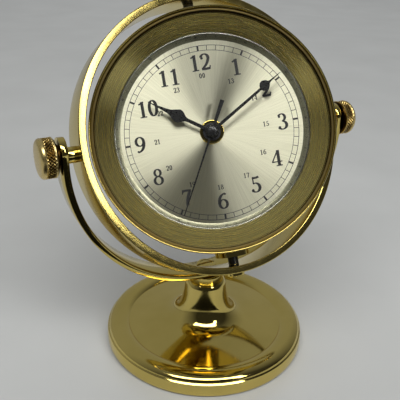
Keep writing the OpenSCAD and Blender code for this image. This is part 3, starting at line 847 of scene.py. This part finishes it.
def dial_print(z):
    """Minute track, hour numbers and the inner 24-hour numbers."""
    parts = []
    for r, wide in ((TRACK_R, 0.26), (TRACK_R - TRACK_W, 0.22)):
        outer = arc((0, 0), r, r, 0, 360, 180)
        inner = arc((0, 0), r - wide, r - wide, 0, 360, 180)
        verts = [(x, y, z) for x, y in outer + inner]
        faces = [(i, i + 1, 182 + i, 181 + i) for i in range(180)]
        parts.append((verts, faces))
    for minute in range(60):
        hour_mark = minute % 5 == 0
        wide = 0.85 if hour_mark else 0.26
        mark = bar(-wide / 2, TRACK_R - TRACK_W, wide / 2, TRACK_R - 0.05, z)
        parts.append(placed(mark, turn=-6 * minute))
    for hour in range(1, 13):
        r, extra = HOUR_PLACES[hour]
        w = math.radians(30 * hour + extra)
        spacing = 0.7 if hour == 11 else 0.64
        parts += number(str(hour), r * math.sin(w), r * math.cos(w), HOUR_HEIGHT, spacing, HOUR_STROKES, z,
                        HOUR_STRETCH)
        w = math.radians(30 * hour)
        late = f"{hour + 12:02d}" if hour < 12 else "00"
        r = 26.2 if hour == 12 else 25.0
        parts += number(late, r * math.sin(w), r * math.cos(w), LATE_HEIGHT, 0.64, LATE_STROKES, z)
    return placed(join(*parts), *PRINT_SHIFT, turn=PRINT_TURN)


def make_dial():
    low, high = span("dial", CASE)
    outer, front = high.x, low.z + DIAL_T
    plate_outline = [(NUT_BORE_R, low.z), (outer, low.z), (outer, front), (outer * 0.6, front),
                     (NUT_BORE_R, front)]
    face = build("dial_brushed", lathe(plate_outline, 256), CASE, "case", DIAL_METAL, ["dial"])
    polar_uv(face, CASE)
    # A sloped margin round the dial, in darker grey silver that is partly painted shade.
    wall = rounded([(DIAL_RIM_R, front - 0.01), (DIAL_RIM_R + 0.9, front - 0.01), (DIAL_R, high.z),
                    (DIAL_R - 0.5, high.z)], 0.2)
    rim = build("dial_rim_spun", lathe(wall, 320), CASE, "case", RIM_SILVER_SHADED, angle=24)
    polar_uv(rim, CASE)
    build("dial_print", dial_print(front + 0.012), CASE, "case", DIAL_INK)
    low, high = span("dial_nut", CASE)
    nut = rounded([(NUT_BORE_R, low.z), (high.x, low.z), (high.x, high.z), (NUT_BORE_R, high.z)], 0.5)
    build("dial_nut_turned", lathe(nut, 96), CASE, "case", POLISHED, ["dial_nut"])


def polar_uv(piece, local):
    """UV map whose U runs round the local axis, so that brushing can follow it."""
    inverse = local.inverted()
    layer = piece.data.uv_layers.new(name="polar")
    for loop in piece.data.loops:
        p = inverse @ piece.data.vertices[loop.vertex_index].co / MM
        layer.data[loop.index].uv = (math.atan2(p.y, p.x) / (2 * math.pi) + 0.5, math.hypot(p.x, p.y) / 50)
    for face in piece.data.polygons:
        us = [layer.data[i].uv.x for i in face.loop_indices]
        if max(us) - min(us) > 0.5:
            for i in face.loop_indices:
                if layer.data[i].uv.x < 0.5:
                    layer.data[i].uv.x += 1


# ---------------------------------------------------------------- hands

HOUR_HUB_R, HOUR_TUBE_R = 3.2, 2.3
MINUTE_HUB_R, MINUTE_TUBE_R = 2.7, 1.4
CAP_R = 2.7


def blade(half):
    return half + [(-x, y) for x, y in reversed(half)]


def hand_angle(node):
    """Angle of a hand from twelve, read from its farthest CAD vertex."""
    inverse = CASE.inverted()
    points = [inverse @ v.co / MM for v in frame["nodes"][node].data.vertices]
    tip = max(points, key=lambda p: math.hypot(p.x, p.y))
    return math.degrees(math.atan2(tip.x, tip.y))


def make_hands():
    hour_half = [(0.8, 0)] + curve((0.8, 11.8), (0.8, 13.4), (1.9, 14.4), 5)
    hour_half += curve((1.9, 14.4), (2.9, 15.4), (3.05, 17), 5)[1:]
    hour_half += curve((3.05, 17), (2.3, 18.6), (1.2, 20.8), 6)[1:]
    hour_half += curve((1.2, 20.8), (0.6, 23), (0.12, 31.8), 8)[1:]
    minute_half = [(0.75, 0), (0.62, 27.6), (0.55, 28.7)]
    minute_half += arc((0, 31), 2.25, 2.25, -74, 66, 16) + [(0.4, 34.4), (0.1, 40.4)]
    specs = [("hour_hand", "hour", hour_half, HOUR_HUB_R, HOUR_TUBE_R),
             ("minute_hand", "minute", minute_half, MINUTE_HUB_R, MINUTE_TUBE_R)]
    for node, body, half, hub, bore in specs:
        low, high = span(node, CASE)
        disc = lathe([(bore, low.z), (hub, low.z), (hub, high.z), (bore, high.z)], 64)
        shape = join(placed(plate(blade(half), low.z + 0.02, high.z - 0.02), turn=-hand_angle(node)), disc)
        build(node + "_blade", shape, CASE, body, HAND_BLACK, [node], bevel=0.08)
    low, high = span("second_hand", CASE)
    needle = plate(blade([(0.5, 0), (0.42, 10), (0.26, 39.7)]), low.z + 0.02, low.z + 0.45)
    tail = plate(blade([(0.55, 0), (0.95, 14.6)]), low.z + 0.02, low.z + 0.45)
    turn = -hand_angle("second_hand")
    crown = curve((CAP_R, low.z + 1.2), (CAP_R - 0.1, high.z - 0.1), (0, high.z), 10)
    cap = lathe([(0, low.z), (CAP_R, low.z)] + crown, 64, closed=False)
    shape = join(placed(needle, turn=turn), placed(tail, turn=turn + 180), cap)
    build("second_hand_blade", shape, CASE, "second", HAND_BLACK, ["second_hand"], bevel=0.05)


# ---------------------------------------------------------------- CAD nodes that keep their shape

def finish_cad_nodes():
    zinc = metal("zinc_steel", (0.46, 0.46, 0.44), (0.62, 0.62, 0.60), 0.3)
    box_plastic = plastic("black_plastic", (0.02, 0.02, 0.022), (0.045, 0.045, 0.05))
    acetal = plastic("wheel_plastic", (0.72, 0.72, 0.68), (0.86, 0.86, 0.82), 0.35)
    finishes = {
        "case_body": brass("drum_brass", CASE), "yoke_saddle": POLISHED,
        "base_weight": metal("cast_iron", (0.03, 0.03, 0.03), (0.09, 0.085, 0.08), 0.65, 0.7, 0.25),
        "felt_pad": felt(), "bolt_washer": zinc, "bolt_nut": zinc, "cover_screws": zinc,
        "battery_contacts": zinc, "stator": metal("stator_iron", (0.32, 0.32, 0.33), (0.5, 0.5, 0.5), 0.4),
        "movement_housing": box_plastic, "movement_cover": box_plastic, "set_knob": box_plastic,
        "circuit_board": plastic("circuit_green", (0.01, 0.07, 0.03), (0.02, 0.13, 0.06), 0.35, 0.8),
        "coil": metal("copper_wire", (0.45, 0.16, 0.06), (0.68, 0.30, 0.13), 0.3, 1.0, 2.0),
        "battery": metal("battery_jacket", (0.05, 0.06, 0.08), (0.12, 0.14, 0.18), 0.3, 0.6),
        "rotor": metal("magnet", (0.10, 0.10, 0.11), (0.18, 0.18, 0.19), 0.5),
    }
    for wheel in ("intermediate_wheel", "second_wheel", "third_wheel", "centre_wheel", "cannon_pinion",
                  "motion_wheel", "hour_wheel"):
        finishes[wheel] = acetal
    for node, material in finishes.items():
        mesh = frame["nodes"][node].data
        mesh.materials.clear()
        mesh.materials.append(material)


# ---------------------------------------------------------------- floor, light and camera

CAMERA_PLACE = (-0.1311, -0.2368, 0.2069)
CAMERA_AIM = (-0.0050, 0.0, 0.0823)
CAMERA_ROLL = 1.8
CAMERA_LENS = 52.5
FLOOR_REACH = 4500
FRONT_EDGE = 95
FRONT_DEPTH = 700
FRONT_HALF = 230


def make_floor():
    """Wide table top. A patch in front of the clock stays out of mirror reflections, as in a dim room."""
    toward = Vector((CAMERA_PLACE[0], CAMERA_PLACE[1], 0)).normalized()
    across = Vector((-toward.y, toward.x, 0))
    near, far, half, reach = FRONT_EDGE, FRONT_DEPTH, FRONT_HALF, FLOOR_REACH
    patches = {"table_front": [(near, far, -half, half)],
               "table_back": [(-reach, near, -reach, reach), (far, reach, -reach, reach),
                              (near, far, -reach, -half), (near, far, half, reach)]}
    paint = floor_paint()
    for name, areas in patches.items():
        verts = []
        for low, high, left, right in areas:
            corners = ((low, left), (high, left), (high, right), (low, right))
            verts += [toward * a + across * b for a, b in corners]
        mesh = bpy.data.meshes.new(name)
        faces = [tuple(range(i, i + 4)) for i in range(0, len(verts), 4)]
        mesh.from_pydata([v * MM for v in verts], [], faces)
        mesh.materials.append(paint)
        table = bpy.data.objects.new(name, mesh)
        bpy.context.scene.collection.objects.link(table)
        table.visible_glossy = name == "table_back"


def soft_light(name, place, aim, power, width, height=None, shade=(1, 1, 1)):
    data = bpy.data.lights.new(name, "AREA")
    data.shape = "RECTANGLE"
    data.size = width
    data.size_y = height or width
    data.energy = power
    data.color = shade
    light = bpy.data.objects.new(name, data)
    light.location = place
    light.rotation_mode = "QUATERNION"
    light.rotation_quaternion = (Vector(aim) - Vector(place)).to_track_quat("-Z", "Y")
    bpy.context.scene.collection.objects.link(light)
    return light


def make_world():
    """Room that looks pale but mirrors darker in front of the clock and below the table."""
    world = bpy.data.worlds.new("studio")
    bpy.context.scene.world = world
    world.use_nodes = True
    tree = world.node_tree
    background = tree.nodes["Background"]
    place = tree.nodes.new("ShaderNodeTexCoord")
    parts = tree.nodes.new("ShaderNodeSeparateXYZ")
    tree.links.new(place.outputs["Generated"], parts.inputs[0])
    ramp = tree.nodes.new("ShaderNodeValToRGB")
    shift = tree.nodes.new("ShaderNodeMapRange")
    shift.inputs["From Min"].default_value = -1
    tree.links.new(parts.outputs[1], shift.inputs["Value"])
    tree.links.new(shift.outputs["Result"], ramp.inputs["Fac"])
    stops = ramp.color_ramp.elements
    stops[0].position, stops[0].color = 0.25, (0.035, 0.035, 0.035, 1)
    stops[1].position, stops[1].color = 0.75, (0.30, 0.305, 0.30, 1)
    seen = tree.nodes.new("ShaderNodeMix")
    seen.data_type = "RGBA"
    seen.inputs[7].default_value = (0.30, 0.305, 0.30, 1)
    tree.links.new(tree.nodes.new("ShaderNodeLightPath").outputs["Is Camera Ray"], seen.inputs[0])
    tree.links.new(ramp.outputs["Color"], seen.inputs[6])
    tree.links.new(seen.outputs[2], background.inputs["Color"])
    below = tree.nodes.new("ShaderNodeMapRange")
    for key, value in zip(RANGE_SOCKETS, (-0.1, 0.05, 0.25, 1.0)):
        below.inputs[key].default_value = value
    tree.links.new(parts.outputs[2], below.inputs["Value"])
    tree.links.new(below.outputs["Result"], background.inputs["Strength"])


def aimed(azimuth, elevation, distance):
    """Place seen from the pivot at an azimuth right of the front and an elevation, in metres."""
    a, e = math.radians(azimuth), math.radians(elevation)
    return PIVOT + Vector((math.sin(a) * math.cos(e), -math.cos(a) * math.cos(e), math.sin(e))) * distance


def make_lights():
    soft_light("ceiling", aimed(-24, 56, 2.2), PIVOT, 42, 2.5, 0.8, (1, 0.995, 0.97))
    soft_light("window", aimed(16, 32, 0.9), PIVOT, 1.2, 0.14, 0.3)
    back = soft_light("back_fill", (0.9, 1.7, 1.7), (0.8, 1.5, 0), 14, 1.8, 1.4)
    back.visible_glossy = False


def make_camera():
    data = bpy.data.cameras.new("camera")
    data.lens = CAMERA_LENS
    data.sensor_width = 36
    camera = bpy.data.objects.new("camera", data)
    camera.location = CAMERA_PLACE
    ahead = (Vector(CAMERA_AIM) - Vector(CAMERA_PLACE)).normalized()
    level = ahead.to_track_quat("-Z", "Y").to_matrix()
    camera.rotation_euler = (Matrix.Rotation(math.radians(-CAMERA_ROLL), 3, ahead) @ level).to_euler()
    data.clip_start = 0.01
    bpy.context.scene.collection.objects.link(camera)
    bpy.context.scene.camera = camera


make_camera()
make_stand()
make_knobs()
make_ring()
make_case()
make_dial()
make_hands()
finish_cad_nodes()
make_floor()
make_world()
make_lights()

bpy.context.scene.view_settings.view_transform = "Standard"
